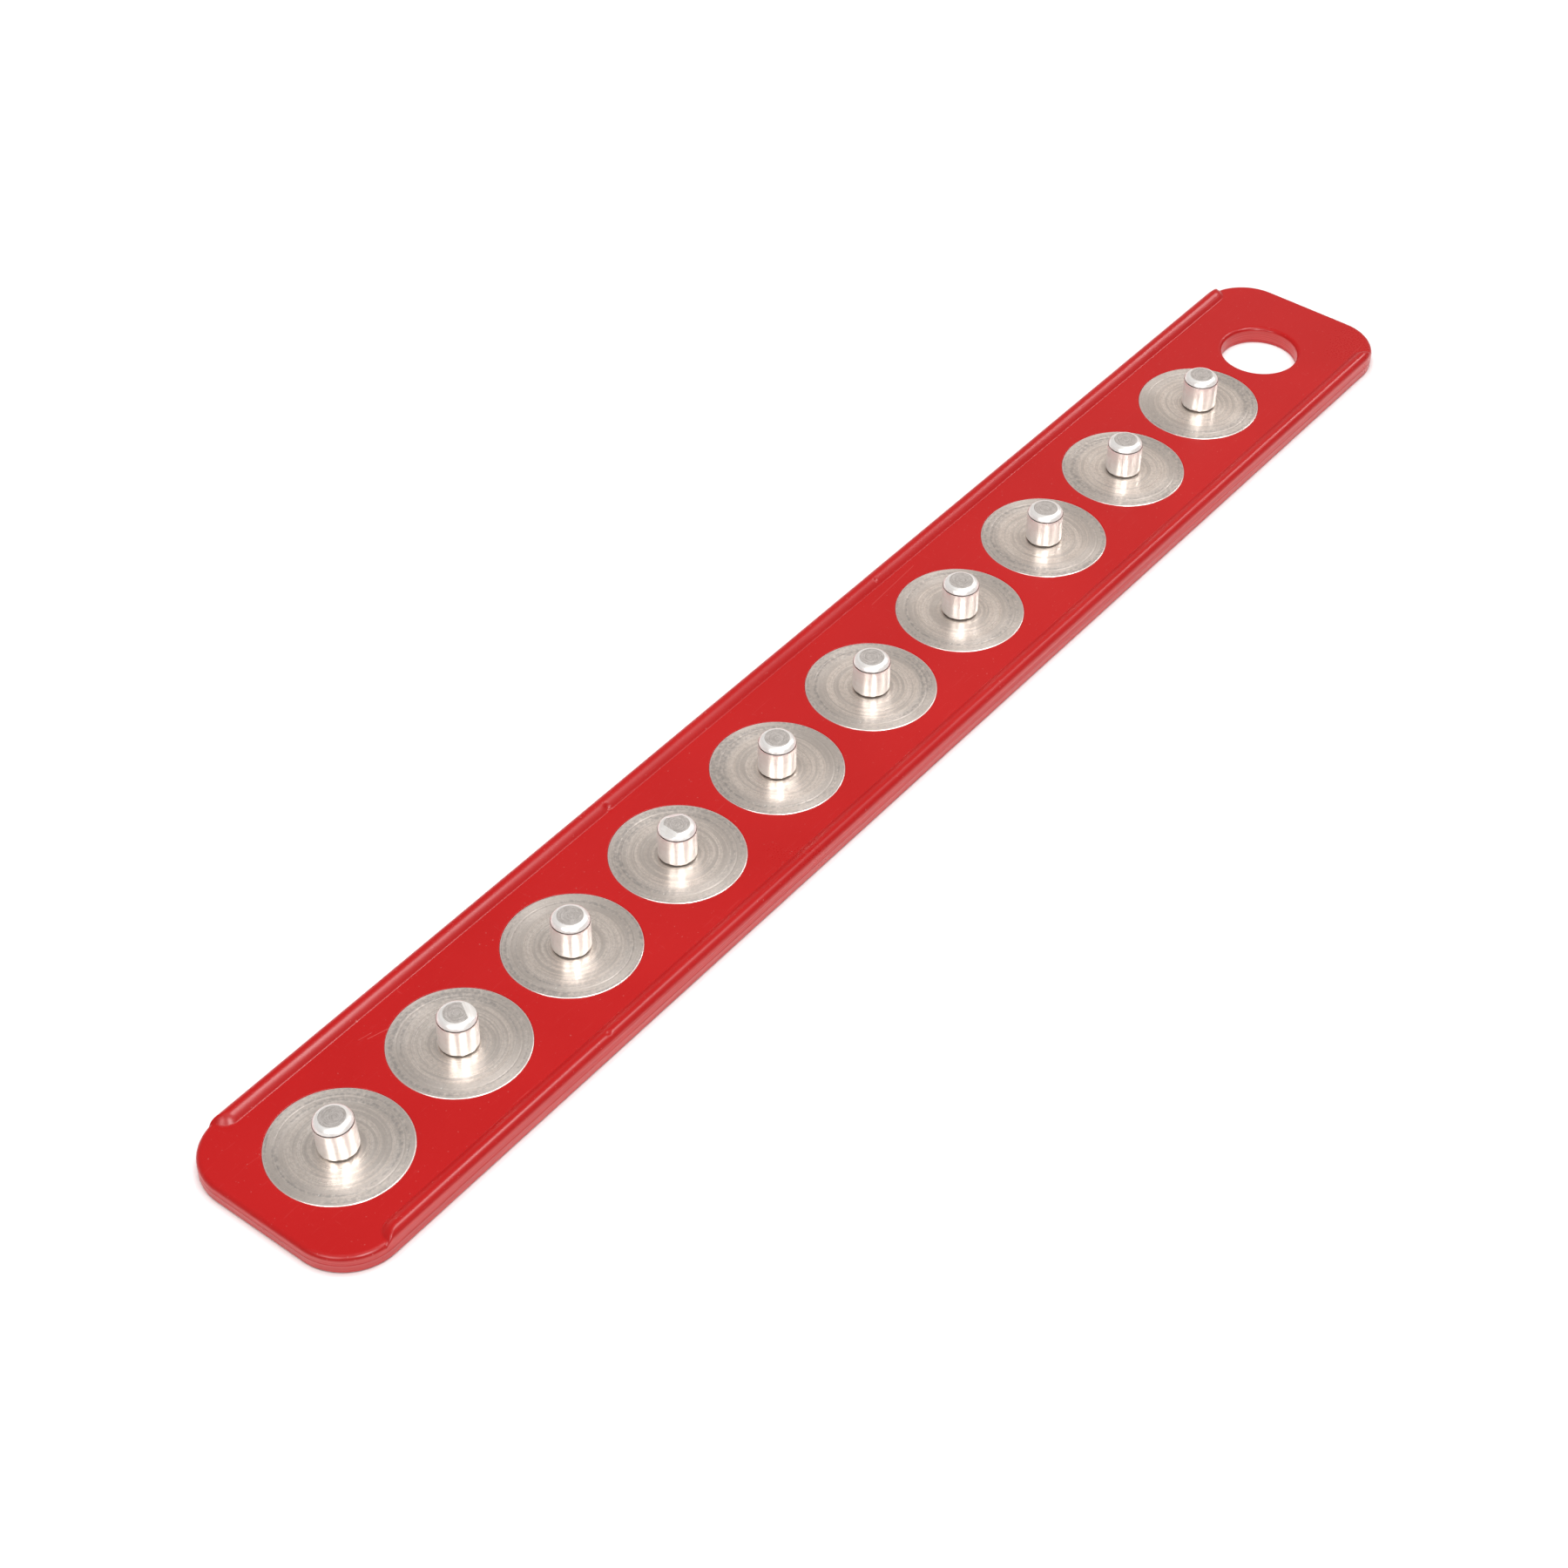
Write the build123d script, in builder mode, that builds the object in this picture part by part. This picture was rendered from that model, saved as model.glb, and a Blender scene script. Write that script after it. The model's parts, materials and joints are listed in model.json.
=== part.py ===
from build123d import *
import math
import os

# A ten-station post strip: a moulded plastic strip with a rib along each long edge and a hang
# hole at one end, carrying a row of turned metal discs, each with a short post standing on it.
# The ribs are solids of their own, so that the shallow channel between them stays open.
# +X runs along the strip towards the hang hole, +Z is up, and the origin is on the underside,
# at the centre of the outline. Lengths are in millimetres, angles in degrees.

# ---- Driving dimensions -------------------------------------------------------------------

station_count = 10
station_pitch = 25.4

disc_diameter = 22.2
disc_thickness = 1.6

post_diameter = 6.3
post_height = 6.5

plate_thickness = 3.2
strip_width = 35.6
plain_end_margin = 16.55
hang_end_margin = 40.05
corner_radius = 9.2

hang_hole_diameter = 14.3
hang_hole_from_end = 18.4

# ---- Strip details ------------------------------------------------------------------------

edge_round = 0.9
bottom_edge_round = 0.3
hole_rim_round = 0.8

rib_height = 1.2
rib_foot_width = 3.1
rib_flank_angle = 55
rib_corner_radius = 2.6
rib_edge_round = 1.4
rib_crown_round = 0.4
rib_plain_end_gap = 8.3
rib_hang_end_gap = 6.15

ejector_mark_diameter = 5.0
ejector_mark_depth = 0.15
ejector_mark_columns = 6
ejector_mark_spacing_y = 25.4

# ---- Disc details -------------------------------------------------------------------------

disc_rim_chamfer = 0.15
disc_ring_radius = 9.4
disc_ring_width = 0.3
disc_ring_depth = 0.08

# ---- Post details -------------------------------------------------------------------------

shank_diameter = 4.8
shank_overlap = 1.0
foot_gap = 0.25
foot_round = 0.3
crown_flat_diameter = 4.2
crown_height = 0.9
crown_bulge = 0.1
post_groove_width = 0.15
post_groove_depth = 0.15

leaning_post = 1
lean_angle = 4.0
lean_azimuth = 127.0

# Sheared faces on two post tops: the way each one faces in plan, how steeply it falls away,
# and how far from the post's axis it starts on the flat top.
sheared_tops = {
    2: [(258.0, 50.0, 2.35), (330.0, 24.0, 1.3)],
    4: [(178.0, 26.0, 1.5), (252.0, 50.0, 2.3), (55.0, 32.0, 1.7)],
}

# ---- Derived sizes and places -------------------------------------------------------------

row_length = (station_count - 1) * station_pitch
strip_length = plain_end_margin + row_length + hang_end_margin
row_centre_x = -strip_length / 2 + plain_end_margin + row_length / 2
hang_hole_x = strip_length / 2 - hang_hole_from_end
disc_radius = disc_diameter / 2
seat_z = plate_thickness - disc_thickness


def station_x(number):
    return row_centre_x + ((number - 1) - (station_count - 1) / 2) * station_pitch


os.makedirs("parts", exist_ok=True)

# ---- Rib profile: a low ridge with a sloping inner flank, flush with the strip's long side -

rib_length = strip_length - rib_plain_end_gap - rib_hang_end_gap
rib_centre_x = (rib_plain_end_gap - rib_hang_end_gap) / 2
rib_overhang = 2 * rib_height
rib_outline_width = rib_foot_width + rib_overhang
rib_outline_y = strip_width / 2 - rib_foot_width + rib_outline_width / 2

with BuildPart() as envelope:
    with BuildSketch():
        RectangleRounded(strip_length, strip_width, corner_radius)
    extrude(amount=plate_thickness + rib_height)
    fillet(envelope.faces().sort_by(Axis.Z)[-1].edges(), radius=rib_edge_round)

with BuildPart() as rib:
    with BuildSketch(Plane.XY.offset(plate_thickness)) as rib_foot:
        with Locations((rib_centre_x, rib_outline_y)):
            Rectangle(rib_length, rib_outline_width)
        fillet(rib_foot.vertices().group_by(Axis.Y)[0], radius=rib_corner_radius)
    extrude(amount=rib_height, taper=rib_flank_angle)
    fillet(rib.edges().group_by(Axis.Z)[-1], radius=rib_crown_round)
    # a root that runs down into the plate's rounded edge
    extrude(rib_foot.sketch, amount=-edge_round - bottom_edge_round)
    # trimmed to the strip's own outline, which also rounds the outer top edge
    add(envelope.part, mode=Mode.INTERSECT)

# ---- Carrier strip ------------------------------------------------------------------------

with BuildPart() as carrier_strip:
    with BuildSketch() as outline:
        RectangleRounded(strip_length, strip_width, corner_radius)
    extrude(amount=plate_thickness)
    fillet(carrier_strip.faces().sort_by(Axis.Z)[-1].edges(), radius=edge_round)
    fillet(carrier_strip.faces().sort_by(Axis.Z)[0].edges(), radius=bottom_edge_round)

    # seats for the discs, sunk from the top
    with BuildSketch(Plane.XY.offset(plate_thickness)) as seats:
        with Locations((row_centre_x, 0)):
            with GridLocations(station_pitch, 0, station_count, 1):
                Circle(disc_radius)
    extrude(amount=-disc_thickness, mode=Mode.SUBTRACT)

    # hang hole with a rounded upper rim
    with BuildSketch() as hang_hole:
        with Locations((hang_hole_x, 0)):
            Circle(hang_hole_diameter / 2)
    extrude(amount=plate_thickness, mode=Mode.SUBTRACT)
    hole_rims = (
        carrier_strip.edges()
        .filter_by(GeomType.CIRCLE)
        .filter_by(lambda rim: abs(rim.radius - hang_hole_diameter / 2) < bottom_edge_round)
        .sort_by(Axis.Z)
    )
    fillet(hole_rims[-1], radius=hole_rim_round)

    # ejector-pin marks in the underside
    with BuildSketch() as ejector_marks:
        mark_spacing_x = row_length / (ejector_mark_columns - 1)
        with Locations((row_centre_x, 0)):
            with GridLocations(mark_spacing_x, ejector_mark_spacing_y, ejector_mark_columns, 2):
                Circle(ejector_mark_diameter / 2)
    extrude(amount=ejector_mark_depth, mode=Mode.SUBTRACT)

carrier_strip.part.label = "carrier_strip"
export_step(carrier_strip.part, "parts/carrier_strip.step")

# ---- Ribs: moulded in one with the strip, each given as a solid that meets it face to face --

with BuildPart() as rib_left:
    add(rib.part)
    add(carrier_strip.part, mode=Mode.SUBTRACT)
rib_left.part.label = "rib_left"
export_step(rib_left.part, "parts/rib_left.step")

with BuildPart() as rib_right:
    add(mirror(rib_left.part, about=Plane.XZ, mode=Mode.PRIVATE))
rib_right.part.label = "rib_right"
export_step(rib_right.part, "parts/rib_right.step")

# ---- Station discs: each sits flush in its seat and is bored for its post's shank ----------


def make_disc(number):
    with BuildPart() as station_disc:
        with BuildSketch(Plane.XY.offset(seat_z)) as face:
            with Locations((station_x(number), 0)):
                Circle(disc_radius)
                Circle(shank_diameter / 2, mode=Mode.SUBTRACT)
        extrude(amount=disc_thickness)
        rim = station_disc.edges().group_by(Axis.Z)[-1].sort_by(SortBy.RADIUS)[-1]
        chamfer(rim, length=disc_rim_chamfer)
        with BuildSketch(Plane.XY.offset(plate_thickness)) as ring:
            with Locations((station_x(number), 0)):
                Circle(disc_ring_radius + disc_ring_width / 2)
                Circle(disc_ring_radius - disc_ring_width / 2, mode=Mode.SUBTRACT)
        extrude(amount=-disc_ring_depth, mode=Mode.SUBTRACT)
    station_disc.part.label = f"station_disc_{number:02d}"
    return station_disc.part


# ---- Posts: a shank in the disc, a gap at the foot, a plain body and a bevelled crown ------
# The shank is always upright and runs up into the body, which leans on one post.


def post_profile():
    body = post_diameter / 2
    neck = body - post_groove_depth
    crown_foot = body - post_groove_depth / 2
    flat = crown_flat_diameter / 2
    groove_top = post_height - crown_height
    groove_bottom = groove_top - post_groove_width
    crown_middle = (
        (crown_foot + flat) / 2 + crown_bulge,
        (groove_top + post_height) / 2 + crown_bulge,
    )
    with BuildSketch(Plane.XZ) as profile:
        with BuildLine():
            Polyline(
                (crown_foot, groove_top),
                (neck, groove_top - post_groove_width / 2),
                (body, groove_bottom),
                (body, foot_gap + foot_round),
            )
            TangentArc(
                (body, foot_gap + foot_round),
                (body - foot_round, foot_gap),
                tangent=(0, -1),
            )
            Polyline(
                (body - foot_round, foot_gap),
                (0, foot_gap),
                (0, post_height),
                (flat, post_height),
            )
            ThreePointArc((flat, post_height), crown_middle, (crown_foot, groove_top))
        make_face()
    return profile.sketch


def facing_plane(azimuth, slope, start):
    facing = math.radians(azimuth)
    fall = math.radians(slope)
    along = Vector(math.cos(facing), math.sin(facing), 0)
    normal = along * math.sin(fall) + Vector(0, 0, math.cos(fall))
    return Plane(origin=along * start + Vector(0, 0, post_height), z_dir=normal)


lean_direction = math.radians(lean_azimuth)
lean_axis = Axis((0, 0, 0), (-math.sin(lean_direction), math.cos(lean_direction), 0))
shank_top = foot_gap + shank_overlap


def make_post(number):
    foot = Location((station_x(number), 0, plate_thickness))

    with BuildPart() as body:
        revolve(post_profile(), axis=Axis.Z)
        for azimuth, slope, start in sheared_tops.get(number, []):
            split(bisect_by=facing_plane(azimuth, slope, start), keep=Keep.BOTTOM)

    lean = lean_angle if number == leaning_post else 0
    with BuildPart() as station_post:
        add(body.part.rotate(lean_axis, lean))
        with BuildSketch(Plane.XY.offset(-disc_thickness)):
            Circle(shank_diameter / 2)
        extrude(amount=disc_thickness + shank_top)
    placed = station_post.part.moved(foot)
    placed.label = f"station_post_{number:02d}"
    return placed


for number in range(1, station_count + 1):
    export_step(make_disc(number), f"parts/station_disc_{number:02d}.step")
    export_step(make_post(number), f"parts/station_post_{number:02d}.step")
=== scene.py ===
import json
import math
import random

import bmesh
import bpy
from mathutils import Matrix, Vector
from mathutils.geometry import delaunay_2d_cdt


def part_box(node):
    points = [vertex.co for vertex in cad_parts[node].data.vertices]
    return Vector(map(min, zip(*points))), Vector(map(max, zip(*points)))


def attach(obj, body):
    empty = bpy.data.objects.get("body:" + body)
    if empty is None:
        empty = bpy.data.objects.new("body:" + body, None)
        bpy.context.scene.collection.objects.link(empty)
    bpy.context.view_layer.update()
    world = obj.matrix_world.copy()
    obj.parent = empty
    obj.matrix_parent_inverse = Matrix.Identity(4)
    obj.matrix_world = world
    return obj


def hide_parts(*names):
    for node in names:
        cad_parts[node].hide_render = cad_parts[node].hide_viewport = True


# A flat red moulded strip with ten turned aluminium discs set flush in its top. A short post
# stands on each disc. Lengths are in millimetres and become metres where a mesh is made, and the
# lights and the camera are placed in metres.

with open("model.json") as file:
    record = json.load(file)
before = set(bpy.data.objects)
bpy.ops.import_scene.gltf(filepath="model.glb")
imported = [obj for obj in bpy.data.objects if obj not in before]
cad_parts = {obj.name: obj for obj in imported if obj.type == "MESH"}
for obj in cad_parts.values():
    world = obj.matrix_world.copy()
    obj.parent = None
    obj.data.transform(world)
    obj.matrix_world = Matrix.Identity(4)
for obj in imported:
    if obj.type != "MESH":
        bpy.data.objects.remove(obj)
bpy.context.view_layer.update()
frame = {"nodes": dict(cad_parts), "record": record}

MM = 0.001
BODY = "root"
STATIONS = range(1, len([name for name in frame["nodes"] if "disc" in name]) + 1)

# ---- Sizes read from the frame ------------------------------------------------------------

strip_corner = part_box("carrier_strip")[1]
half_length = strip_corner.x / MM
half_width = strip_corner.y / MM
rib_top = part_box("rib_left")[1].z / MM

disc_low, disc_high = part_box("station_disc_01")
disc_radius = (disc_high.x - disc_low.x) / 2 / MM
plate_top = disc_high.z / MM
seat_floor = disc_low.z / MM

mounts = {mount["name"]: mount for mount in frame["record"]["mounts"]}
hole_x = mounts["hang_hole"]["pos_m"][0] / MM
hole_radius = mounts["hang_hole"]["dims"]["r_mm"]
post_radius = mounts["post_01"]["dims"]["r_mm"]
post_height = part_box("station_post_03")[1].z / MM - plate_top


def station_x(number):
    lowest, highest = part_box(f"station_disc_{number:02d}")
    return (lowest.x + highest.x) / 2 / MM


# ---- Sizes of the details -----------------------------------------------------------------

corner_radius = 9.2
edge_round = 0.9
bottom_round = 0.3
rib_foot_width = 3.1
rib_round_width = 1.6
rib_round_height = 1.42
rib_flank_width = 2.3
rib_corner_radius = 2.6
rib_plain_end_gap = 8.3
rib_hang_end_gap = 6.15
rib_start = -half_length + rib_plain_end_gap
rib_end = half_length - rib_hang_end_gap
rib_crest_margin = 0.05
foot_softness = 0.14
edge_softness = 0.2

# How far in from the side the rings end and the flat fill begins, on top and underneath.
flat_inset = 3.9
under_inset = 1.2

parting_height = 1.55
parting_ridge = 0.02

hole_rim_round = 0.8
mark_radius = 2.5
mark_depth = 0.15
mark_columns = 6
mark_row_y = 12.7

disc_edge_gap = 0.02
disc_chamfer = 0.11
disc_ring_radius = 9.4
disc_ring_width = 0.13
disc_ring_depth = 0.03

# Nicks in the ribs: where, how wide and how deep.
nicks = [
    (Vector((-49.1, 15.2)), 0.45, 0.35),
    (Vector((-86.2, -16.7)), 0.35, 0.25),
    (Vector((23.0, 15.6)), 0.25, 0.12),
]

# Single scratches in the plate's top: where each one starts and ends, and its width.
plate_scratches = [
    (Vector((-108.6, 11.1, plate_top)), Vector((-104.4, 9.9, plate_top)), 0.09),
    (Vector((-109.6, 12.0, plate_top)), Vector((-107.3, 11.5, plate_top)), 0.06),
    (Vector((18.0, 12.6, plate_top)), Vector((31.0, 13.3, plate_top)), 0.06),
]

shank_radius = 2.4
shank_point = 0.2
shank_foot = -1.5
shank_top = 0.9
foot_gap = 0.25
crown_flat_radius = 2.1
crown_height = 0.9
groove_width = 0.15
groove_depth = 0.15
groove_top = post_height - crown_height
groove_bottom = groove_top - groove_width
foot_wobble = 0.03
sharp_angle = math.radians(28)

# Points round each turned shape.
seat_sides = 128
hole_sides = 160
mark_sides = 48
disc_sides = 192
post_sides = 96
shank_sides = 64

# Sheared faces on two post tops: facing, slope and distance of the face's start from the axis.
sheared_tops = {
    2: [(258.0, 50.0, 2.35), (330.0, 24.0, 1.3)],
    4: [(178.0, 26.0, 1.5), (252.0, 50.0, 2.3), (55.0, 32.0, 1.7)],
}

# ---- Mesh helpers -------------------------------------------------------------------------


def smooth_min(a, b, softness):
    blend = max(softness - abs(a - b), 0) / softness
    return min(a, b) - blend * blend * softness / 4


def smooth_max(a, b, softness):
    return -smooth_min(-a, -b, softness)


def rounded_depth(past_x, past_y, radius):
    """How far inside a rounded corner a point is, from how far it lies past each of the two sides."""
    qx = past_x + radius
    qy = past_y + radius
    out = math.hypot(max(qx, 0), max(qy, 0)) + min(max(qx, qy), 0) - radius
    return -out


def circle(centre, radius, count):
    angles = [2 * math.pi * step / count for step in range(count)]
    return [centre + Vector((radius * math.cos(a), radius * math.sin(a))) for a in angles]


class Shell:
    """Rings of points, joined into one closed mesh."""

    def __init__(self):
        self.points = []
        self.faces = []

    def ring(self, flat_points, heights):
        start = len(self.points)
        self.points += [(p.x, p.y, z) for p, z in zip(flat_points, heights)]
        return list(range(start, len(self.points)))

    def join(self, first, second):
        count = len(first)
        for i in range(count):
            j = (i + 1) % count
            self.faces.append((first[i], first[j], second[j], second[i]))

    def stack(self, rings):
        for first, second in zip(rings, rings[1:]):
            self.join(first, second)

    def lathe(self, centre, count, profile):
        """Rings about a vertical axis, one for each (radius, height) in the profile."""
        rings = [self.ring(circle(centre, r, count), [z] * count) for r, z in profile]
        self.stack(rings)
        return rings

    def cap(self, ring):
        self.faces.append(tuple(ring))

    def flat_points(self, ring):
        return [Vector(self.points[i][:2]) for i in ring]

    def fill(self, outer, holes, corner, spacing=4.0):
        """Fills the flat area between an outer ring and the round holes in it.

        The outer ring is a rounded rectangle with that corner radius, centred on the origin. Points
        on a grid keep the triangles even.
        """
        loops = [outer] + holes
        ids = [i for loop in loops for i in loop]
        flat = self.flat_points(ids)
        edges = []
        start = 0
        for loop in loops:
            count = len(loop)
            edges += [(start + i, start + (i + 1) % count) for i in range(count)]
            start += count
        level = self.points[outer[0]][2]
        rounds = [loop_centre_radius(self.flat_points(hole)) for hole in holes]
        reach_x = max(p.x for p in self.flat_points(outer))
        reach_y = max(p.y for p in self.flat_points(outer))

        def is_between(p, margin):
            if any((p - centre).length <= radius + margin for centre, radius in rounds):
                return False
            return rounded_depth(abs(p.x) - reach_x, abs(p.y) - reach_y, corner) > margin

        grid_x = reach_x - spacing / 2
        grid_y = reach_y - spacing / 2
        columns = int(2 * grid_x / spacing)
        rows = int(2 * grid_y / spacing)
        for column in range(columns + 1):
            x = -grid_x + 2 * grid_x * column / columns
            for row in range(rows + 1):
                p = Vector((x, -grid_y + 2 * grid_y * row / rows))
                if is_between(p, spacing / 3):
                    flat.append(p)
                    ids.append(len(self.points))
                    self.points.append((p.x, p.y, level))
        made = delaunay_2d_cdt(flat, edges, [], 0, 1e-6)
        out_points, out_faces, origins = made[0], made[2], made[3]
        for face in out_faces:
            middle = sum((out_points[i] for i in face), Vector((0, 0))) / len(face)
            if is_between(middle, 0):
                self.faces.append(tuple(ids[origins[i][0]] for i in face))

    def mesh(self, name):
        """The shell as a mesh in metres, with every face turned outwards."""
        mesh = bpy.data.meshes.new(name)
        mesh.from_pydata([tuple(c * MM for c in p) for p in self.points], [], self.faces)
        join_meshes(mesh, [mesh])
        return mesh


def loop_centre_radius(loop):
    centre = sum(loop, Vector((0, 0))) / len(loop)
    return centre, (loop[0] - centre).length


def join_meshes(target, parts):
    """Fills the target mesh with the parts' meshes, with every face turned outwards."""
    bm = bmesh.new()
    for part in parts:
        bm.from_mesh(part)
    bmesh.ops.recalc_face_normals(bm, faces=bm.faces)
    bm.to_mesh(target)
    bm.free()


def make_piece(name, mesh, materials, nodes, place=(0, 0, 0)):
    for material in materials:
        mesh.materials.append(material)
    mesh.shade_smooth()
    piece = bpy.data.objects.new(name, mesh)
    bpy.context.scene.collection.objects.link(piece)
    piece.location = [c * MM for c in place]
    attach(piece, BODY)
    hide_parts(*nodes)


# ---- Material helper ----------------------------------------------------------------------


class Shader:
    """A node material. add() makes a node, sets its inputs and links any that are sockets."""

    def __init__(self, name, **constants):
        self.material = bpy.data.materials.new(name)
        self.material.use_nodes = True
        self.tree = self.material.node_tree
        self.surface = self.tree.nodes["Principled BSDF"]
        for key, value in constants.items():
            self.surface.inputs[key.replace("_", " ")].default_value = value

    def add(self, kind, inputs=None, **settings):
        node = self.tree.nodes.new("ShaderNode" + kind)
        for key, value in settings.items():
            setattr(node, key, value)
        for key, value in (inputs or {}).items():
            self.put(node.inputs[key], value)
        return node

    def put(self, socket, value):
        if isinstance(value, bpy.types.NodeSocket):
            self.tree.links.new(value, socket)
        else:
            socket.default_value = value

    def math(self, operation, first, second=0.0, third=0.0):
        return self.add("Math", {0: first, 1: second, 2: third}, operation=operation).outputs[0]

    def millimetres(self):
        """The object's own coordinates, in millimetres."""
        return self.stretch(self.add("TexCoord").outputs["Object"], 1 / MM, 1 / MM, 1 / MM)

    def vector(self, operation, first, second):
        return self.add("VectorMath", {0: first, 1: second}, operation=operation).outputs[0]

    def stretch(self, vector, x, y, z):
        return self.vector("MULTIPLY", vector, (x, y, z))

    def noise(self, vector, scale=1.0, detail=4.0, roughness=0.5):
        inputs = {"Vector": vector, "Scale": scale, "Detail": detail, "Roughness": roughness}
        return self.add("TexNoise", inputs).outputs["Fac"]

    def ramp(self, value, low, high, out_low=0.0, out_high=1.0):
        inputs = {
            "Value": value,
            "From Min": low,
            "From Max": high,
            "To Min": out_low,
            "To Max": out_high,
        }
        return self.add("MapRange", inputs).outputs[0]

    def mix(self, factor, first, second):
        node = self.add("Mix", data_type="RGBA")
        self.put(node.inputs["Factor"], factor)
        self.put(node.inputs[6], first)
        self.put(node.inputs[7], second)
        return node.outputs[2]

    def bump(self, height, distance, normal=None):
        inputs = {"Height": height, "Distance": distance * MM, "Strength": 1.0}
        if normal is not None:
            inputs["Normal"] = normal
        return self.add("Bump", inputs).outputs["Normal"]

    def set(self, **sockets):
        for key, value in sockets.items():
            self.put(self.surface.inputs[key.replace("_", " ")], value)


def scratches(shader, millimetres, stretch_x, stretch_y, share):
    """Thin broken lines, mostly along one direction."""
    warp = shader.noise(millimetres, scale=0.12, detail=2.0)
    bent = shader.vector("ADD", millimetres, warp)
    lines = shader.noise(shader.stretch(bent, stretch_x, stretch_y, 1.0), detail=3.0, roughness=0.7)
    return shader.ramp(lines, share, share + 0.06)


def straight_mark(shader, millimetres, start, end, width):
    """A single straight scratch between two places on the plate."""
    run = end - start
    heading = run.normalized()
    away = shader.vector("SUBTRACT", millimetres, start)
    along = shader.add("VectorMath", {0: away, 1: heading}, operation="DOT_PRODUCT").outputs["Value"]
    held = shader.add("Clamp", {"Value": along, "Min": 0.0, "Max": run.length}).outputs[0]
    nearest = shader.add("VectorMath", {0: heading, "Scale": held}, operation="SCALE").outputs[0]
    apart = shader.add("VectorMath", {0: away, 1: nearest}, operation="DISTANCE").outputs["Value"]
    return shader.ramp(apart, width, 0.3 * width)


# ---- Materials ----------------------------------------------------------------------------


def red_plastic():
    """Gloss red moulded plastic, with handling scratches, specks of dust and sides painted paler as a
    painted reflection of the floor.
    """
    shader = Shader("red_plastic", IOR=1.46, Specular_IOR_Level=0.38)
    millimetres = shader.millimetres()
    clouds = shader.noise(millimetres, scale=0.035, detail=3.0)
    speckle = shader.noise(millimetres, scale=3.5, detail=2.0)
    along = scratches(shader, millimetres, 0.12, 5.0, 0.66)
    across = scratches(shader, millimetres, 3.2, 0.25, 0.68)
    scuff = shader.math("MAXIMUM", along, across)
    for start, end, width in plate_scratches:
        mark = straight_mark(shader, millimetres, start, end, width)
        scuff = shader.math("MAXIMUM", scuff, shader.math("MULTIPLY", mark, 2.5))
    dust = shader.ramp(shader.noise(millimetres, scale=2.2, detail=1.0), 0.73, 0.78)

    cloud_share = shader.ramp(clouds, 0.35, 0.65)
    red = shader.mix(cloud_share, (0.435, 0.003, 0.003, 1), (0.465, 0.0045, 0.0045, 1))
    red = shader.mix(shader.ramp(speckle, 0.3, 0.7, 0.0, 0.14), red, (0.49, 0.013, 0.013, 1))
    red = shader.mix(shader.math("MULTIPLY", scuff, 0.10), red, (0.80, 0.22, 0.20, 1))
    red = shader.mix(shader.math("MULTIPLY", dust, 0.12), red, (0.86, 0.55, 0.50, 1))

    gloss = shader.ramp(clouds, 0.3, 0.7, 0.25, 0.32)
    gloss = shader.math("MULTIPLY_ADD", speckle, 0.05, gloss)
    gloss = shader.math("MULTIPLY_ADD", scuff, 0.18, gloss)

    peel = shader.noise(millimetres, scale=0.55, detail=2.0)
    normal = shader.bump(peel, 0.006)
    normal = shader.bump(speckle, 0.0005, normal)
    normal = shader.bump(scuff, -0.0025, normal)

    # painted reflection: the moulded sides get a paler red that stands in for the white floor's
    # reflection in them, with fine lines along them
    facing = shader.add("SeparateXYZ", {0: shader.add("NewGeometry").outputs["Normal"]}).outputs[2]
    side = shader.ramp(facing, 0.45, 0.15)
    layers = shader.noise(shader.stretch(millimetres, 0.02, 0.02, 3.2), detail=3.0, roughness=0.6)
    painted_side_reflection = shader.mix(shader.ramp(layers, 0.35, 0.65), (0.60, 0.04, 0.04, 1), (0.80, 0.14, 0.13, 1))
    red = shader.mix(shader.math("MULTIPLY", side, 0.7), red, painted_side_reflection)
    shader.set(Base_Color=red, Roughness=gloss, Normal=normal)
    return shader.material


def ring_vector(shader, millimetres, across, around, seed):
    """Coordinates that change quickly with the radius and slowly along each ring."""
    split = shader.add("SeparateXYZ", {0: millimetres})
    flat = shader.add("CombineXYZ", {0: split.outputs[0], 1: split.outputs[1]})
    radius = shader.add("VectorMath", {0: flat.outputs[0]}, operation="LENGTH").outputs["Value"]
    x = shader.math("MULTIPLY", radius, across)
    y = shader.math("MULTIPLY_ADD", split.outputs[0], around, seed)
    z = shader.math("MULTIPLY", split.outputs[1], around)
    return shader.add("CombineXYZ", {0: x, 1: y, 2: z}).outputs[0], radius


def station_seed(shader):
    """A number that differs from station to station."""
    place = shader.add("ObjectInfo").outputs["Location"]
    split = shader.add("SeparateXYZ", {0: place})
    return shader.math("MULTIPLY", split.outputs[0], 371.0)


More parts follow.
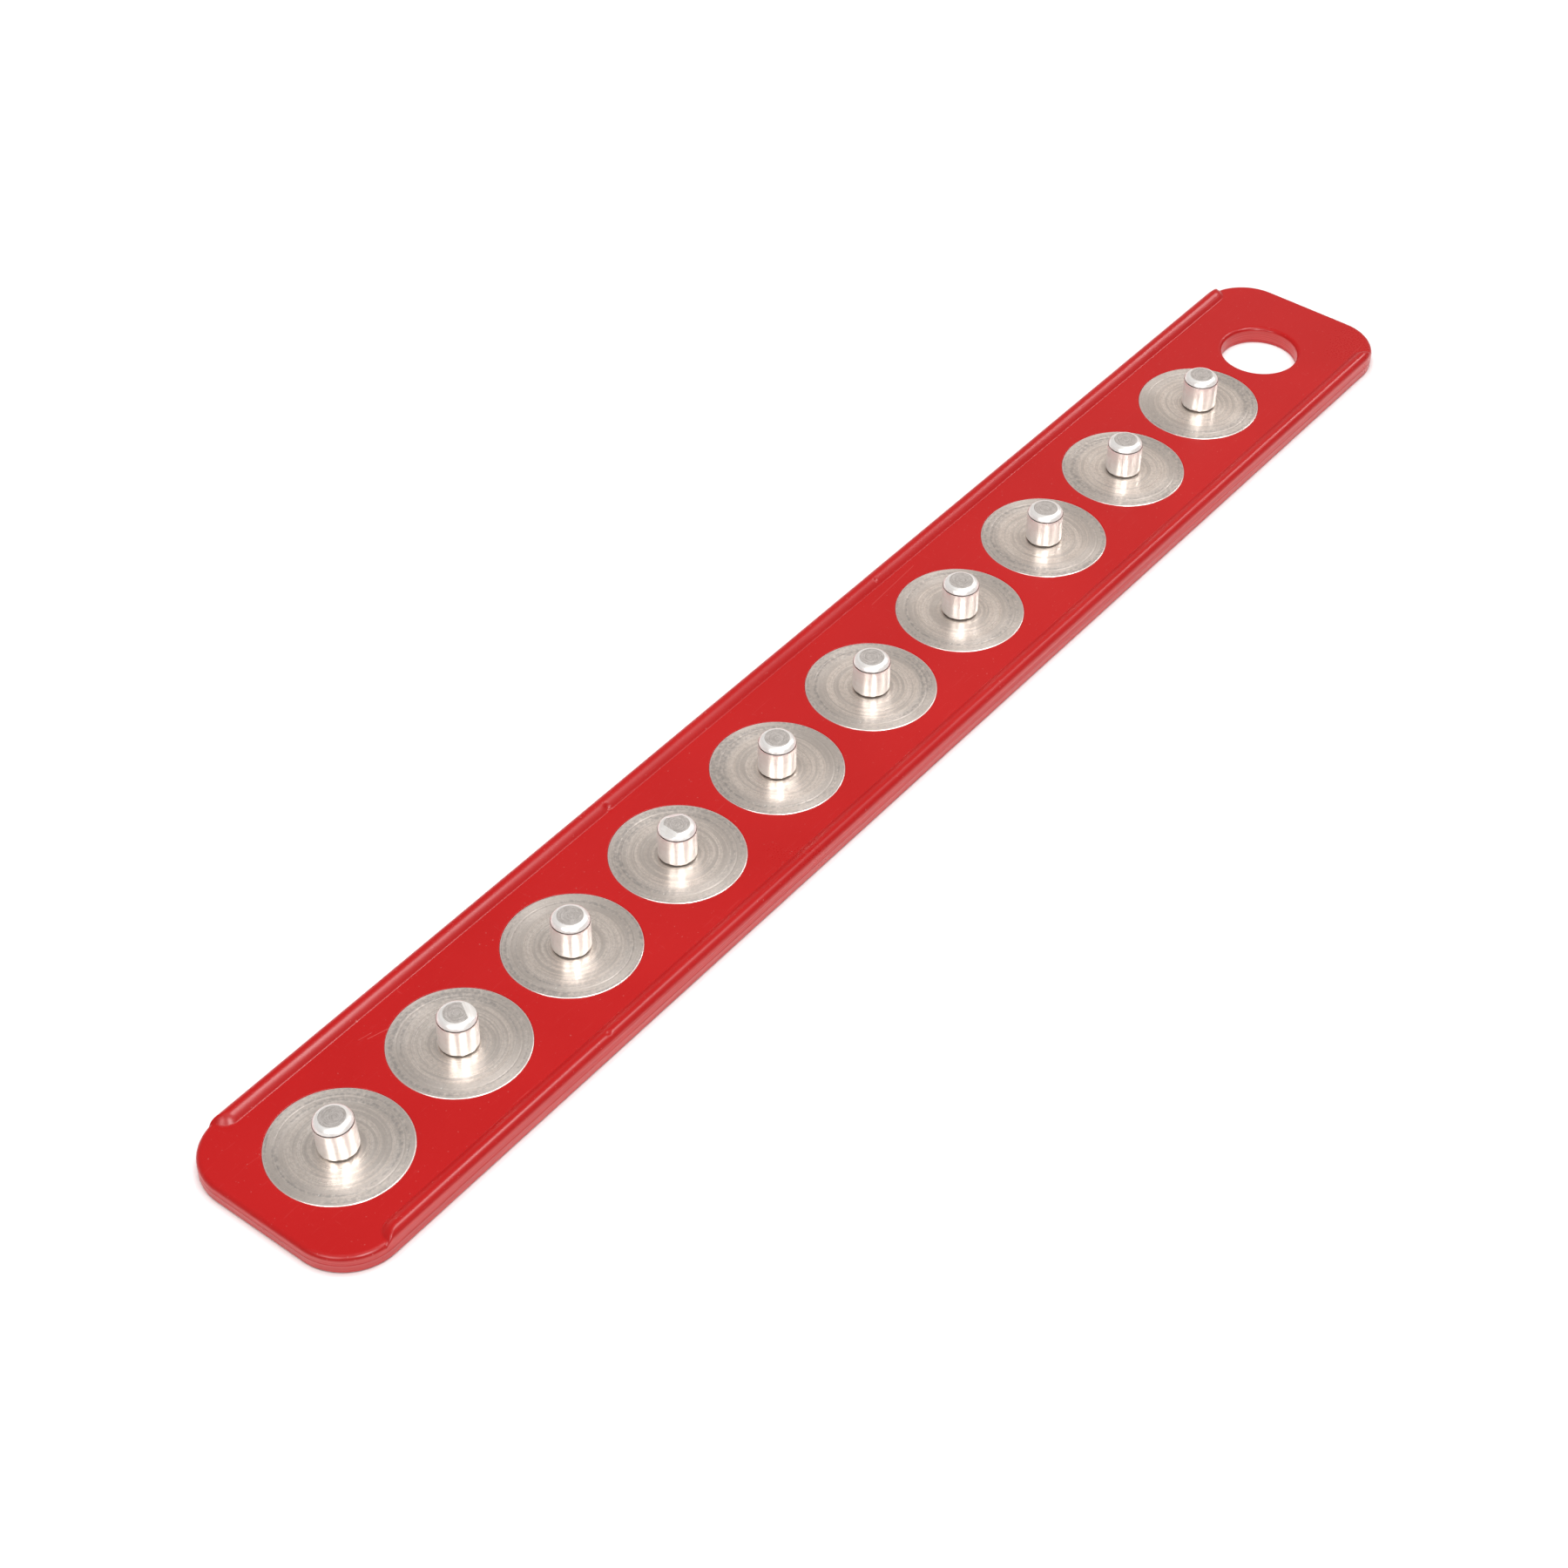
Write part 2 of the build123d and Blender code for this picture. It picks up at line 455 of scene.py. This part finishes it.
def turned_disc():
    """Lathe-faced aluminium. Its grooves run round it, so highlights spread along the radius."""
    shader = Shader("turned_disc", Metallic=0.86, Anisotropic=0.7, Anisotropic_Rotation=0.25)
    millimetres = shader.millimetres()
    seed = station_seed(shader)
    wide, radius = ring_vector(shader, millimetres, 1.5, 0.06, seed)
    fine, _ = ring_vector(shader, millimetres, 9.0, 0.10, seed)
    hair, _ = ring_vector(shader, millimetres, 26.0, 0.30, seed)
    bands = shader.noise(wide, detail=2.0)
    rings = shader.noise(fine, detail=4.0, roughness=0.6)
    lines = shader.noise(hair, detail=2.0, roughness=0.6)
    stain = shader.noise(millimetres, scale=0.35, detail=5.0, roughness=0.6)
    mottle = shader.noise(millimetres, scale=1.6, detail=3.0)
    grain = shader.noise(millimetres, scale=2.0, detail=4.0, roughness=0.75)
    nicks_and_rubs = scratches(shader, millimetres, 1.1, 1.6, 0.67)

    tone = shader.mix(shader.ramp(rings, 0.3, 0.7), (0.74, 0.65, 0.58, 1), (1.0, 0.91, 0.835, 1))
    tone = shader.mix(shader.ramp(bands, 0.47, 0.60, 0.0, 0.6), tone, (0.56, 0.51, 0.47, 1))
    tone = shader.mix(shader.ramp(grain, 0.46, 0.58, 0.0, 0.5), tone, (0.60, 0.54, 0.49, 1))
    tone = shader.mix(shader.ramp(stain, 0.5, 0.72, 0.0, 0.25), tone, (0.62, 0.55, 0.49, 1))

    # a darker zone near the rim, broken up by the bands, and a painted highlight as a light line at the
    # rim itself
    outer = shader.ramp(radius, 7.8, 8.6)
    outer = shader.math("MULTIPLY", outer, shader.ramp(bands, 0.60, 0.42, 0.1, 1.0))
    outer = shader.math("MULTIPLY", outer, shader.ramp(mottle, 0.35, 0.62, 0.25, 0.8))
    tone = shader.mix(outer, tone, (0.42, 0.39, 0.37, 1))
    tone = shader.mix(shader.math("MULTIPLY", nicks_and_rubs, 0.6), tone, (1.0, 0.97, 0.93, 1))
    # painted highlight: a light line along the rim's chamfer
    tone = shader.mix(shader.ramp(radius, 10.88, 10.96), tone, (0.88, 0.82, 0.78, 1))

    rough = shader.ramp(bands, 0.3, 0.7, 0.24, 0.32)
    rough = shader.math("MULTIPLY_ADD", lines, 0.06, rough)
    rough = shader.math("ADD", rough, shader.ramp(radius, 7.4, 8.4, 0.0, 0.10))
    normal = shader.bump(rings, 0.007)
    normal = shader.bump(lines, 0.0018, normal)
    normal = shader.bump(grain, 0.015, normal)
    normal = shader.bump(nicks_and_rubs, -0.003, normal)
    tangent = shader.add("Tangent", direction_type="RADIAL", axis="Z").outputs[0]
    shader.set(Base_Color=tone, Roughness=rough, Normal=normal, Tangent=tangent)
    return shader.material


def turned_post():
    """Bright turned aluminium, with fine rings one above another."""
    shader = Shader("turned_post", Metallic=0.6, Anisotropic=0.4, Anisotropic_Rotation=0.25)
    millimetres = shader.millimetres()
    seed = station_seed(shader)
    split = shader.add("SeparateXYZ", {0: millimetres})
    height = shader.math("MULTIPLY", split.outputs[2], 9.0)
    side = shader.math("MULTIPLY_ADD", split.outputs[0], 0.35, seed)
    depth = shader.math("MULTIPLY", split.outputs[1], 0.35)
    turned = shader.add("CombineXYZ", {0: height, 1: side, 2: depth}).outputs[0]
    rings = shader.noise(turned, detail=4.0)
    stain = shader.noise(millimetres, scale=0.7, detail=4.0)
    rubs = scratches(shader, millimetres, 2.0, 1.4, 0.68)

    tone = shader.mix(shader.ramp(rings, 0.3, 0.7), (0.92, 0.88, 0.84, 1), (1.0, 0.98, 0.96, 1))
    tone = shader.mix(shader.ramp(stain, 0.5, 0.75, 0.0, 0.25), tone, (0.58, 0.52, 0.46, 1))
    rough = shader.ramp(rings, 0.3, 0.7, 0.28, 0.40)
    normal = shader.bump(rings, 0.006)
    normal = shader.bump(rubs, -0.004, normal)
    tangent = shader.add("Tangent", direction_type="RADIAL", axis="Z").outputs[0]
    shader.set(Base_Color=tone, Roughness=rough, Normal=normal, Tangent=tangent)
    return shader.material


def parted_top():
    """The dull cut-off end of the bar that a post was turned from."""
    shader = Shader("parted_top", Metallic=0.8)
    millimetres = shader.millimetres()
    seed = station_seed(shader)
    fine, _ = ring_vector(shader, millimetres, 5.0, 0.9, seed)
    swirl = shader.noise(fine, detail=5.0, roughness=0.65)
    grit = shader.noise(millimetres, scale=4.0, detail=5.0, roughness=0.7)
    pits = shader.ramp(grit, 0.52, 0.66)
    tone = shader.mix(shader.ramp(swirl, 0.35, 0.65), (0.48, 0.44, 0.41, 1), (0.76, 0.71, 0.68, 1))
    tone = shader.mix(shader.math("MULTIPLY", pits, 0.5), tone, (0.34, 0.31, 0.29, 1))
    normal = shader.bump(swirl, 0.03)
    normal = shader.bump(pits, -0.012, normal)
    shader.set(Base_Color=tone, Roughness=shader.ramp(grit, 0.3, 0.7, 0.38, 0.55), Normal=normal)
    return shader.material


def painted_gap_shade():
    """Painted shade: a dark colour in the groove under the crown and under the foot, where shade falls.
    """
    shader = Shader("painted_gap_shade", Metallic=0.5)
    millimetres = shader.millimetres()
    patches = shader.noise(millimetres, scale=1.8, detail=4.0, roughness=0.65)
    tone = shader.mix(shader.ramp(patches, 0.38, 0.6), (0.045, 0.035, 0.03, 1), (0.26, 0.21, 0.18, 1))
    normal = shader.bump(patches, 0.03)
    shader.set(Base_Color=tone, Roughness=shader.ramp(patches, 0.3, 0.7, 0.55, 0.8), Normal=normal)
    return shader.material


# ---- Carrier strip ------------------------------------------------------------------------


def even_steps(start, stop, step):
    count = max(1, round(abs(stop - start) / step))
    return [start + (stop - start) * i / count for i in range(count)]


def side_places():
    """Places along one long side, closer together at the rib's ends and at the nicks."""
    reach = half_length - corner_radius
    fine = 0.16
    coarse = 1.2
    plain_end_run = 3.5
    hang_end_run = 1.5
    spans = [(-reach, -reach + plain_end_run)]
    spans += sorted((spot.x - 3 * width, spot.x + 3 * width) for spot, width, _ in nicks)
    spans += [(reach - hang_end_run, reach)]
    places = []
    cursor = -reach
    for start, stop in spans:
        if start > cursor:
            places += even_steps(cursor, start, coarse)
        places += even_steps(start, stop, fine)
        cursor = stop
    return places


def strip_outline():
    """Points round the outline, anticlockwise, each with its outward direction."""
    reach_x = half_length - corner_radius
    reach_y = half_width - corner_radius
    end_step = 1.2
    arc_steps = 72
    places = side_places()
    ends = even_steps(-reach_y, reach_y, end_step)
    points = []

    def arc(centre_x, centre_y, first):
        for step in range(arc_steps):
            a = math.radians(first + 90 * step / arc_steps)
            out = Vector((math.cos(a), math.sin(a)))
            points.append((Vector((centre_x, centre_y)) + out * corner_radius, out))

    down = Vector((0, -1))
    points.extend((Vector((x, -half_width)), down) for x in places)
    arc(reach_x, -reach_y, -90)
    points.extend((Vector((half_length, y)), Vector((1, 0))) for y in ends)
    arc(reach_x, reach_y, 0)
    mirrored = [reach_x] + list(reversed(places))[:-1]
    points.extend((Vector((x, half_width)), Vector((0, 1))) for x in mirrored)
    arc(-reach_x, reach_y, 90)
    points.extend((Vector((-half_length, -y)), Vector((-1, 0))) for y in ends)
    arc(-reach_x, -reach_y, 180)
    return points


def edge_drop(inset, width, height):
    """How far an elliptical edge rounding has fallen, at an inset from the side."""
    share = max(1 - inset / width, 0.0)
    return height * (1 - math.sqrt(max(1 - share * share, 0.0)))


def inside_rib(p):
    """How far p is inside the nearer rib's foot, negative outside it."""
    middle = (rib_start + rib_end) / 2
    past_end = abs(p.x - middle) - (rib_end - rib_start) / 2
    past_flank = half_width - rib_foot_width - abs(p.y)
    return rounded_depth(past_end, past_flank, rib_corner_radius)


def rib_rise(depth):
    """The rib's inner flank, steepest at its foot and level at its crest."""
    share = min(depth / rib_flank_width, 1.0)
    return (rib_top - plate_top + rib_crest_margin) * (1 - (1 - share) ** 2)


def top_height(p, inset):
    """The height of the strip's top at p, which lies that far in from the side."""
    drop = edge_drop(inset, edge_round, edge_round)
    rib_drop = edge_drop(inset, rib_round_width, rib_round_height)
    unevenness = 0.02 * math.sin(p.x * 0.21) * math.sin(p.x * 0.053 + p.y)
    rise = rib_rise(inside_rib(p)) + unevenness
    rib = smooth_min(plate_top + rise, rib_top - rib_drop, edge_softness)
    height = smooth_max(plate_top - drop, rib, foot_softness)
    for spot, width, depth in nicks:
        away = (p - spot).length / width
        height -= depth * math.exp(-(away**2))
    return height


def strip_rings(shell):
    """Rings from the flat middle of the top, over the ribs, down the side and in underneath."""
    outline = strip_outline()

    def ring_at(inset, height_of):
        flat = [p - out * inset for p, out in outline]
        return shell.ring(flat, [height_of(p) for p in flat])

    def top_ring(inset):
        return ring_at(inset, lambda p: top_height(p, inset))

    def side_ring(share):
        return ring_at(0.0, lambda p: bottom_round + (top_height(p, 0.0) - bottom_round) * share)

    def level_ring(height, bulge=0.0):
        return ring_at(-bulge, lambda p: height)

    crown_insets = even_steps(edge_round + 0.1, 3.4, 0.1) + [3.45, 3.6]
    turn_steps = 8
    turns = [math.radians(90 * step / turn_steps) for step in range(turn_steps + 1)]
    edge_insets = [edge_round * (1 - math.cos(turn)) for turn in turns]
    rings = [ring_at(flat_inset, lambda p: plate_top)]
    rings += [top_ring(inset) for inset in reversed(crown_insets)]
    rings += [top_ring(inset) for inset in reversed(edge_insets)]
    rings += [
        side_ring(0.975),
        level_ring(parting_height + 3 * parting_ridge),
        level_ring(parting_height + parting_ridge, parting_ridge),
        level_ring(parting_height - parting_ridge, parting_ridge),
        level_ring(parting_height - 3 * parting_ridge),
        level_ring(bottom_round + 0.05),
    ]
    for turn in turns[::2]:
        height = bottom_round * (1 - math.sin(turn))
        rings.append(level_ring(height, -bottom_round * (1 - math.cos(turn))))
    rings += [level_ring(0.0, -bottom_round - 0.12), level_ring(0.0, -under_inset)]
    return rings


def seat_profile():
    """A disc's seat, with a softened rim and a flat floor."""
    rim = 0.08
    return [
        (disc_radius + 0.5, plate_top),
        (disc_radius + 1.5 * rim, plate_top),
        (disc_radius + 0.3 * rim, plate_top - 0.3 * rim),
        (disc_radius, plate_top - 1.5 * rim),
        (disc_radius, seat_floor + rim),
        (disc_radius, seat_floor),
        (disc_radius - rim, seat_floor),
    ]


def hole_profile():
    """The hang hole, with a rounded upper rim and a small lower one."""
    outer = hole_radius + hole_rim_round
    profile = [(outer + 0.4, plate_top), (outer + 0.08, plate_top)]
    turn_steps = 10
    for step in range(turn_steps + 1):
        turn = math.radians(90 * step / turn_steps)
        radius = hole_radius + hole_rim_round * (1 - math.sin(turn))
        profile.append((radius, plate_top - hole_rim_round * (1 - math.cos(turn))))
    return profile + [
        (hole_radius, plate_top - hole_rim_round - 0.08),
        (hole_radius, parting_height),
        (hole_radius, 0.2),
        (hole_radius + 0.03, 0.06),
        (hole_radius + 0.12, 0.0),
        (hole_radius + 0.4, 0.0),
    ]


def mark_profile():
    """A shallow round mark that an ejector pin leaves in the underside."""
    return [
        (mark_radius + 0.3, 0.0),
        (mark_radius + 0.05, 0.0),
        (mark_radius, 0.05),
        (mark_radius - 0.02, mark_depth - 0.03),
        (mark_radius - 0.1, mark_depth),
        (mark_radius - 0.4, mark_depth),
    ]


def make_strip(material):
    shell = Shell()
    rings = strip_rings(shell)
    shell.stack(rings)

    top_holes = []
    for number in STATIONS:
        seat = shell.lathe(Vector((station_x(number), 0)), seat_sides, seat_profile())
        shell.cap(seat[-1])
        top_holes.append(seat[0])

    hole = shell.lathe(Vector((hole_x, 0)), hole_sides, hole_profile())
    top_holes.append(hole[0])
    bottom_holes = [hole[-1]]

    first = station_x(STATIONS[0])
    last = station_x(STATIONS[-1])
    for column in range(mark_columns):
        x = first + (last - first) * column / (mark_columns - 1)
        for y in (-mark_row_y, mark_row_y):
            mark = shell.lathe(Vector((x, y)), mark_sides, mark_profile())
            shell.cap(mark[-1])
            bottom_holes.append(mark[0])

    shell.fill(rings[0], top_holes, corner_radius - flat_inset)
    shell.fill(rings[-1], bottom_holes, corner_radius - under_inset)
    strip_nodes = ["carrier_strip", "rib_left", "rib_right"]
    make_piece("strip", shell.mesh("strip"), [material], strip_nodes)


# ---- Discs --------------------------------------------------------------------------------


def disc_surface(number):
    """Returns the height of the turned face above its nominal plane, as a function of the radius."""
    wave_count = 14
    dice = random.Random(number)
    waves = []
    for _ in range(wave_count):
        waves.append((dice.uniform(3.6, 10.6), dice.uniform(0.12, 0.5), dice.uniform(-0.007, 0.006)))
    dish = dice.uniform(0.010, 0.030)

    def height(radius):
        level = -dish * (1 - (radius / disc_radius) ** 2)
        for middle, width, size in waves:
            level += size * math.exp(-(((radius - middle) / width) ** 2))
        level -= disc_ring_depth * math.exp(-(((radius - disc_ring_radius) / disc_ring_width) ** 4))
        return level

    return height


def disc_profile(height):
    """From the bore's lower edge, up and over the turned face, and down to the rim's lower edge."""
    thickness = plate_top - seat_floor
    bore = shank_radius + disc_edge_gap
    rim = disc_radius - disc_edge_gap
    face_radii = even_steps(shank_radius + 0.2, rim - disc_chamfer - 0.05, 0.09)
    return [
        (bore, -thickness + 0.02),
        (bore, -0.06),
        (bore + 0.06, -0.02),
        *((radius, height(radius)) for radius in face_radii),
        (rim - disc_chamfer - 0.03, 0.0),
        (rim - disc_chamfer + 0.02, -0.015),
        (rim - 0.02, -disc_chamfer + 0.02),
        (rim, -disc_chamfer - 0.03),
        (rim, -thickness + 0.1),
        (rim - 0.08, -thickness + 0.02),
    ]


def make_disc(number, material):
    shell = Shell()
    rings = shell.lathe(Vector((0, 0)), disc_sides, disc_profile(disc_surface(number)))
    shell.join(rings[-1], rings[0])
    name = f"disc_{number:02d}"
    place = (station_x(number), 0, plate_top)
    make_piece(name, shell.mesh(name), [material], [f"station_{name}"], place)


# ---- Posts --------------------------------------------------------------------------------


def post_profile(dice):
    """From the foot, up the body, through the groove and over the crown to its flat top."""
    neck = post_radius - groove_depth
    points = [
        (shank_radius - 0.3, foot_gap + 0.02),
        (post_radius - 0.42, foot_gap),
        (post_radius - 0.30, foot_gap),
        (post_radius - 0.15, foot_gap + 0.04),
        (post_radius - 0.04, foot_gap + 0.15),
        (post_radius, foot_gap + 0.30),
    ]
    for z in even_steps(foot_gap + 0.45, groove_bottom - 0.08, 0.16):
        points.append((post_radius + dice.uniform(-0.008, 0.006), z))
    crown_radius = neck + 0.05
    crown_foot = groove_top + 0.03
    points += [
        (post_radius, groove_bottom - 0.06),
        (post_radius - 0.02, groove_bottom),
        (neck, groove_bottom + 0.03),
        (neck, groove_top - 0.02),
        (crown_radius, crown_foot),
    ]
    crown_steps = 9
    for step in range(1, crown_steps):
        share = step / crown_steps
        bulge = 0.16 * math.sin(math.pi * share)
        radius = crown_radius + (crown_flat_radius - crown_radius) * share
        points.append((radius + bulge * 0.75, crown_foot + (crown_height - 0.03) * share + bulge * 0.7))
    points += [(crown_flat_radius - 0.02, post_height - 0.01), (crown_flat_radius - 0.12, post_height)]
    return [(r, min(z, post_height)) for r, z in points]


def assign_post_materials(bm):
    """Material 1 on the cut-off end, 2 (painted shade) in the groove and under the foot, and 0
    elsewhere.
    """
    for face in bm.faces:
        lowest = min(v.co.z for v in face.verts) / MM
        highest = max(v.co.z for v in face.verts) / MM
        in_groove = lowest > groove_bottom - 0.01 and highest < groove_top + 0.01
        if lowest > post_height - 0.03:
            face.material_index = 1
        elif in_groove or highest < foot_gap + 0.10:
            face.material_index = 2


def roughen_foot(bm, number):
    """An uneven foot, as broken burrs leave it."""
    for vertex in bm.verts:
        if vertex.co.z < (foot_gap + 0.2) * MM:
            angle = math.atan2(vertex.co.y, vertex.co.x)
            wobble = math.sin(5 * angle + number) + math.sin(11 * angle + 2 * number)
            wobble += 0.7 * math.sin(23 * angle)
            vertex.co.z += foot_wobble * wobble * MM


def shear_top(bm, azimuth, slope, start):
    """Cuts the top away past a sloping plane, and closes the cut with a bright face."""
    facing = math.radians(azimuth)
    fall = math.radians(slope)
    along = Vector((math.cos(facing), math.sin(facing), 0))
    normal = along * math.sin(fall) + Vector((0, 0, math.cos(fall)))
    point = (along * start + Vector((0, 0, post_height))) * MM
    everything = bm.verts[:] + bm.edges[:] + bm.faces[:]
    cut = bmesh.ops.bisect_plane(bm, geom=everything, plane_co=point, plane_no=normal, clear_outer=True)
    rim = [e for e in cut["geom_cut"] if isinstance(e, bmesh.types.BMEdge)]
    made = bmesh.ops.edgeloop_fill(bm, edges=rim)
    for face in made["faces"]:
        face.material_index = 0
        face.normal_update()


def post_mesh(number):
    shell = Shell()
    profile = post_profile(random.Random(100 + number))

    # the cut-off end: nearly flat, with faint rings
    for radius in (1.7, 1.4, 1.1, 0.8, 0.5, 0.25):
        profile.append((radius, post_height + 0.015 * math.sin(9 * radius)))
    rings = shell.lathe(Vector((0, 0)), post_sides, profile)
    shell.cap(rings[0])
    shell.cap(rings[-1])

    mesh = shell.mesh(f"post_{number:02d}")
    bm = bmesh.new()
    bm.from_mesh(mesh)
    assign_post_materials(bm)
    roughen_foot(bm, number)
    for azimuth, slope, start in sheared_tops.get(number, []):
        shear_top(bm, azimuth, slope, start)
    bm.to_mesh(mesh)
    bm.free()
    return mesh


def shank_mesh():
    """The upright shank that sits in the disc."""
    shell = Shell()
    profile = [
        (shank_radius - shank_point, shank_foot),
        (shank_radius, shank_foot + shank_point),
        (shank_radius, 0.3),
        (shank_radius, shank_top),
    ]
    rings = shell.lathe(Vector((0, 0)), shank_sides, profile)
    shell.cap(rings[0])
    shell.cap(rings[-1])
    return shell.mesh("shank")


def make_post(number, materials):
    mesh = post_mesh(number)
    axis = Vector(mounts[f"post_{number:02d}"]["axis"])
    mesh.transform(Vector((0, 0, 1)).rotation_difference(axis).to_matrix().to_4x4())
    join_meshes(mesh, [mesh, shank_mesh()])
    name = f"post_{number:02d}"
    place = (station_x(number), 0, plate_top)
    make_piece(name, mesh, materials, [f"station_{name}"], place)
    mesh.set_sharp_from_angle(angle=sharp_angle)


# ---- The object ---------------------------------------------------------------------------

make_strip(red_plastic())
disc_metal = turned_disc()
# the third post material paints shade into the groove and under the foot
post_metals = [turned_post(), parted_top(), painted_gap_shade()]
for number in STATIONS:
    make_disc(number, disc_metal)
    make_post(number, post_metals)

# ---- Floor, light and camera --------------------------------------------------------------


def make_floor():
    """A plain floor just below the strip, so that the two never lie in one plane."""
    bpy.ops.mesh.primitive_plane_add(size=4.0, location=(0, 0, -0.05 * MM))
    floor = bpy.context.object
    floor.name = "floor"
    shader = Shader("pale_floor", Roughness=0.7, Specular_IOR_Level=0.2)
    shader.surface.inputs["Base Color"].default_value = (0.93, 0.93, 0.93, 1)
    floor.data.materials.append(shader.material)


def make_area_light(name, place, target, size, power, diffuse=True, glossy=True, colour=(1, 1, 1)):
    light = bpy.data.lights.new(name, "AREA")
    light.size = size
    light.energy = power
    light.color = colour
    lamp = bpy.data.objects.new(name, light)
    lamp.location = place
    lamp.visible_diffuse = diffuse
    lamp.visible_glossy = glossy
    lamp.rotation_euler = (Vector(target) - Vector(place)).to_track_quat("-Z", "Y").to_euler()
    bpy.context.scene.collection.objects.link(lamp)


def make_camera():
    camera = bpy.data.cameras.new("camera")
    camera.sensor_width = 36
    camera.lens = 70.06
    camera.clip_start = 0.01
    holder = bpy.data.objects.new("camera", camera)
    holder.location = (-0.31013, -0.22344, 0.34185)
    holder.rotation_euler = [math.radians(angle) for angle in (46.65, -0.272, -51.892)]
    bpy.context.scene.collection.objects.link(holder)
    bpy.context.scene.camera = holder


def make_world():
    world = bpy.data.worlds.new("studio")
    bpy.context.scene.world = world
    world.use_nodes = True
    background = world.node_tree.nodes["Background"]
    background.inputs["Color"].default_value = (1.0, 0.99, 0.98, 1)
    background.inputs["Strength"].default_value = 0.44


make_floor()
make_world()
make_area_light("overhead", (-0.05, -0.05, 1.15), (0, 0, 0), 0.9, 13.6, glossy=False)
make_area_light("left_light", (-0.46, -0.06, 0.36), (-0.05, 0, 0), 0.2, 1.1, diffuse=False)
make_area_light("front_light", (-0.24, -0.33, 0.39), (-0.02, 0, 0), 0.16, 1.9, diffuse=False)
make_area_light("back_panel", (0.99, 0.48, 0.66), (0.1, 0, 0), 0.8, 0.38, colour=(1.0, 0.80, 0.66))
make_area_light("side_light", (0.20, -0.28, 0.67), (-0.10, 0, 0), 0.2, 2.6, diffuse=False)
make_area_light("far_side_light", (0.77, -0.20, 0.60), (0.08, 0, 0), 0.2, 1.8, diffuse=False)
make_camera()
bpy.context.scene.view_settings.view_transform = "Standard"
